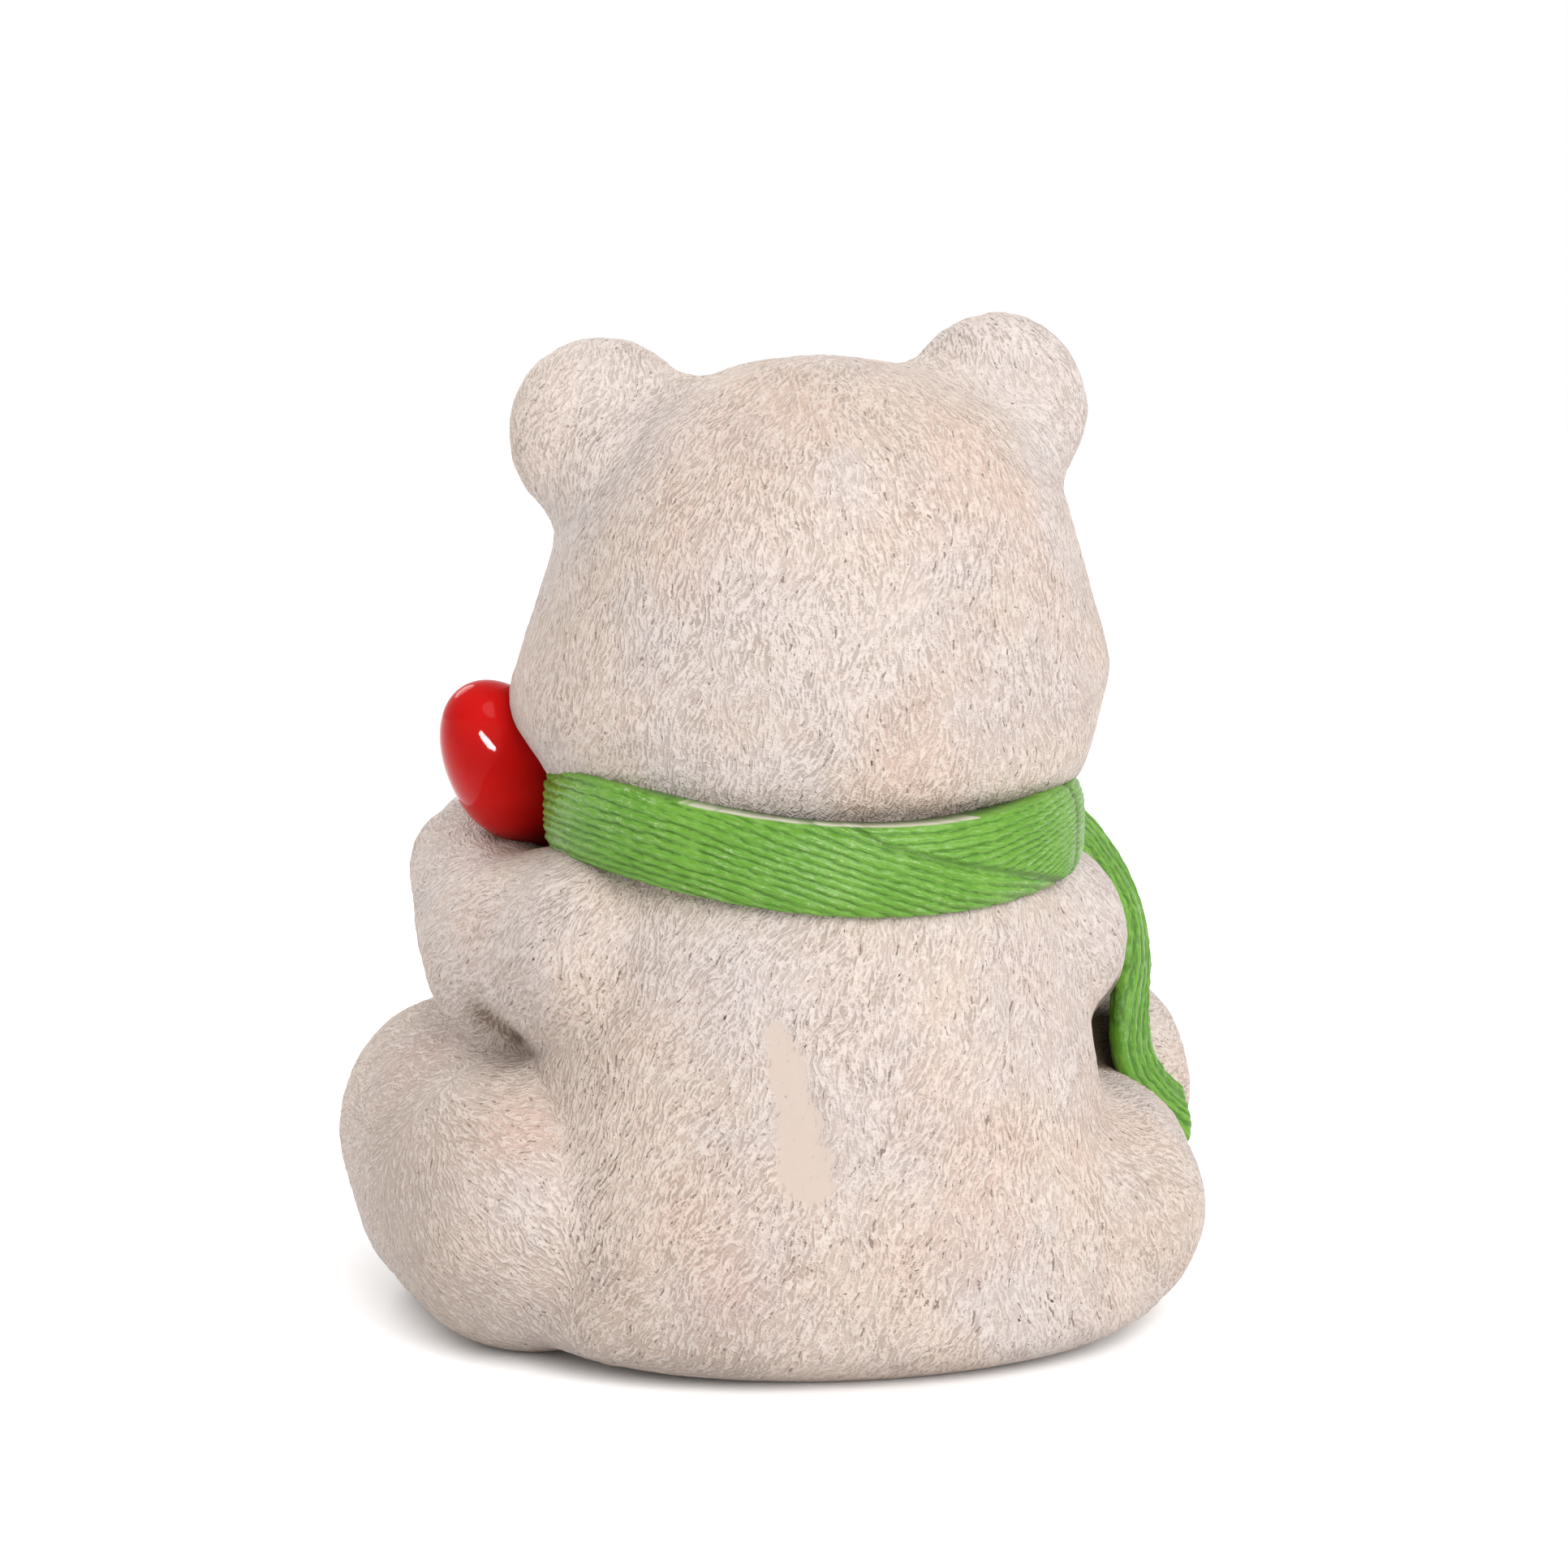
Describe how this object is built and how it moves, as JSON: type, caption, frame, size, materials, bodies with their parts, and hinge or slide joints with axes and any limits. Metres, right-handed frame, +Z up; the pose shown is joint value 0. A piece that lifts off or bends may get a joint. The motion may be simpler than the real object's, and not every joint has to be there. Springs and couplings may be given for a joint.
{
  "type": "lighted polar bear figurine",
  "caption": "Seated polar bear cub figurine in cream painted resin, with a cast-on green ribbed scarf, holding a large glossy red light bulb against its cheek.",
  "frame": {"origin": "centre of the box that the figurine fills, on the surface that it stands on", "axes": "+Z up; the bear faces -Y, so its left side is at +X"},
  "size_m": [0.2728, 0.221, 0.3007],
  "materials": {
    "cream_paint": "matte cream paint on cast resin, with a grey-brown wash in the carved fur strokes",
    "green_paint": "satin green paint on the cast-on ribbed scarf, lighter on the rib crests",
    "dark_paint": "gloss dark paint on the eyes and nose",
    "pad_paint": "matte grey-pink rubbed over the pads of the soles",
    "red_bulb": "glossy red moulded bulb"
  },
  "bodies": {
    "root": {"bear": "cream_paint", "light_bulb": "red_bulb"}
  },
  "joints": []
}
